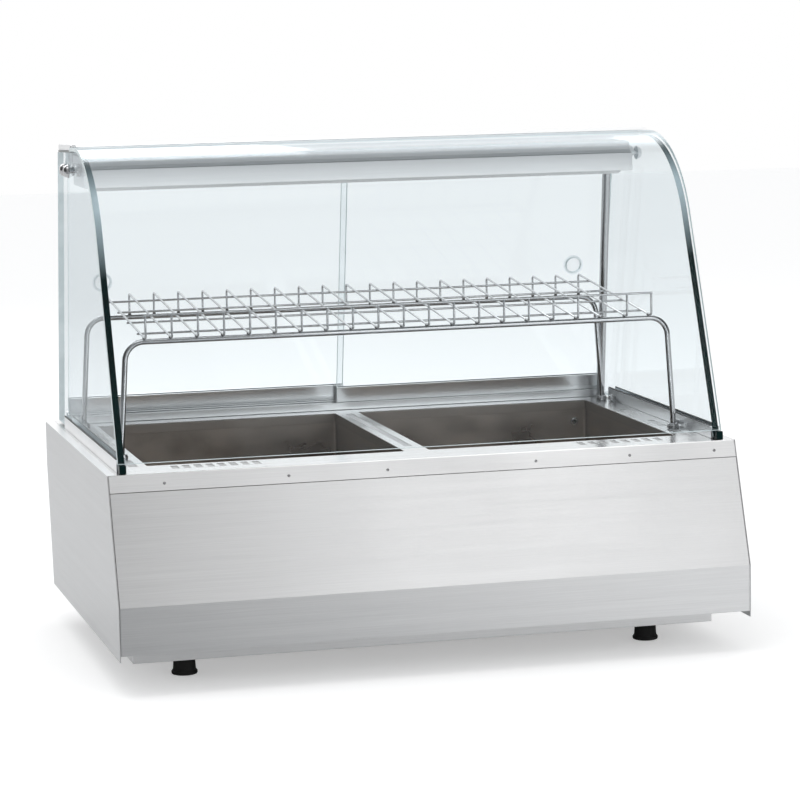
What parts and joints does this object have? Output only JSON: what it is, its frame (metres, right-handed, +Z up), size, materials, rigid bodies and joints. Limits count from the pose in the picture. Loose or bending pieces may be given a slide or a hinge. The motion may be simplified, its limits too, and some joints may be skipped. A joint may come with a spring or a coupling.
{
  "type": "heated display case",
  "caption": "Counter-top heated display case with sunken wells, a curved lift-up front glass, sliding rear doors and a wire shelf.",
  "frame": {"origin": "middle of the footprint, on the counter under the feet", "axes": "+Z up, +X along the width to the customer's right, +Y from the curved front glass towards the sliding doors"},
  "size_m": [0.74, 0.504, 0.5947],
  "materials": {
    "stainless": "brushed stainless sheet",
    "well_steel": "dull stainless, darkened by heat",
    "chrome": "bright polished",
    "aluminium": "satin extrusion",
    "dark_metal": "dark oxidised metal",
    "glass": "clear tempered glass with dark green edges",
    "rubber": "black rubber",
    "black_plastic": "black moulded plastic",
    "clear_plastic": "pale translucent plastic",
    "quartz": "quartz lamp tube",
    "ceramic": "unglazed ceramic"
  },
  "bodies": {
    "case": {"front_panel": "stainless", "rear_panel": "stainless", "base_pan": "stainless", "deck_plate": "stainless", "side_panel_left": "stainless", "side_panel_right": "stainless", "well_tub_left": "well_steel", "well_tub_right": "well_steel", "well_element_left": "dark_metal", "well_element_right": "dark_metal", "overflow_fitting": "chrome", "foot_front_left": "rubber", "foot_front_right": "rubber", "foot_rear_left": "rubber", "foot_rear_right": "rubber", "glass_channel_left": "aluminium", "glass_channel_right": "aluminium", "clamp_knob_front_left": "chrome", "clamp_knob_front_right": "chrome", "clamp_knob_rear_left": "chrome", "clamp_knob_rear_right": "chrome", "glass_rest_left": "rubber", "glass_rest_right": "rubber", "side_glass_left": "glass", "side_glass_right": "glass", "hinge_pin": "chrome", "roof_profile": "aluminium", "lamp_housing": "aluminium", "lamp_reflector": "chrome", "lamp_holder_left": "ceramic", "lamp_holder_right": "ceramic", "heat_lamp_front": "quartz", "heat_lamp_rear": "quartz", "housing_bolt_front_left": "chrome", "housing_bolt_front_right": "chrome", "housing_bolt_rear_left": "chrome", "housing_bolt_rear_right": "chrome", "conduit_post": "chrome", "door_track_bottom": "aluminium", "door_track_top": "aluminium", "shelf_socket_front_left": "chrome", "shelf_socket_front_right": "chrome", "shelf_socket_rear_left": "chrome", "shelf_socket_rear_right": "chrome", "thermostat": "dark_metal", "switch_body": "black_plastic", "cable_gland": "black_plastic"},
    "lift_up_glass": {"front_glass": "glass", "glass_hinge_leaf": "aluminium"},
    "left_door": {"door_glass_left": "glass", "door_rail_left": "aluminium", "finger_pull_left": "clear_plastic"},
    "right_door": {"door_glass_right": "glass", "door_rail_right": "aluminium", "finger_pull_right": "clear_plastic"},
    "shelf": {"shelf_grid": "chrome", "shelf_front_tube": "chrome", "shelf_rear_tube": "chrome"},
    "heat_knob": {"thermostat_knob": "black_plastic"},
    "power_rocker": {"switch_rocker": "black_plastic"}
  },
  "joints": [
    {"name": "front_glass_hinge", "type": "hinge", "parent": "case", "child": "lift_up_glass", "pos_m": [0, 0.08826, 0.58993], "axis": [-1, 0, 0], "range_deg": [0, 80]},
    {"name": "left_door_slide", "type": "slide", "parent": "case", "child": "left_door", "axis": [1, 0, 0], "range_m": [0, 0.335]},
    {"name": "right_door_slide", "type": "slide", "parent": "case", "child": "right_door", "axis": [-1, 0, 0], "range_m": [0, 0.335]},
    {"name": "shelf_lift", "type": "slide", "parent": "case", "child": "shelf", "axis": [0, 0, 1], "range_m": [0, 0.03]},
    {"name": "heat_knob_turn", "type": "hinge", "parent": "case", "child": "heat_knob", "pos_m": [0.25, 0.23279, 0.084], "axis": [0, 0.984, -0.1783], "range_deg": [0, 270]},
    {"name": "power_rocker_tilt", "type": "hinge", "parent": "case", "child": "power_rocker", "pos_m": [0.19, 0.23279, 0.084], "axis": [1, 0, 0], "range_deg": [-7, 7]}
  ]
}
